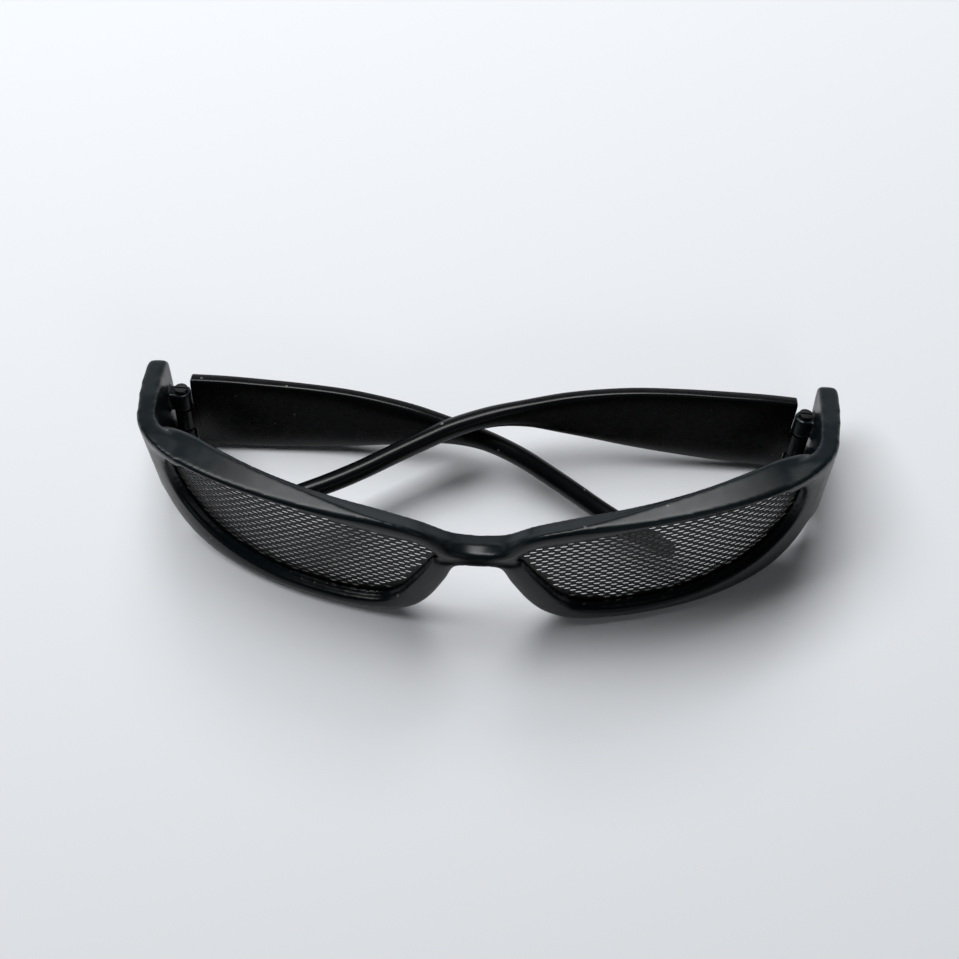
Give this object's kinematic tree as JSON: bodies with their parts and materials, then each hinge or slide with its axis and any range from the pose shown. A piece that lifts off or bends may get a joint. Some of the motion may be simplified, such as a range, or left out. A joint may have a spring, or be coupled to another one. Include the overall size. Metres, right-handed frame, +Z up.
{
  "type": "mesh safety glasses",
  "caption": "Wraparound mesh safety glasses with perforated steel eye panels, resting with the temples folded over each other.",
  "frame": {"origin": "middle of the footprint on the table, at table height", "axes": "+X to the right across the front as seen from in front of the glasses, +Y from the lenses back to the folded temples, +Z up; the front leans back 27 degrees"},
  "size_m": [0.1524, 0.0532, 0.0389],
  "materials": {
    "frame_plastic": "satin black moulded plastic",
    "mesh_steel": "black coated perforated steel",
    "temple_plastic": "satin black moulded plastic",
    "screw_steel": "blackened small screw"
  },
  "bodies": {
    "front": {"front_frame": "frame_plastic", "left_mesh": "mesh_steel", "right_mesh": "mesh_steel", "left_hinge_screw": "screw_steel", "right_hinge_screw": "screw_steel"},
    "right_temple": {"right_temple": "temple_plastic"},
    "left_temple": {"left_temple": "temple_plastic"}
  },
  "joints": [
    {"name": "right_temple_fold", "type": "hinge", "parent": "front", "child": "right_temple", "pos_m": [0.06917, 0.01531, 0.0073], "axis": [-0.075, -0.6275, -0.775], "range_deg": [0, 90]},
    {"name": "left_temple_fold", "type": "hinge", "parent": "front", "child": "left_temple", "pos_m": [-0.06917, 0.01531, 0.0073], "axis": [0.0314, 0.629, 0.7768], "range_deg": [0, 90]}
  ]
}
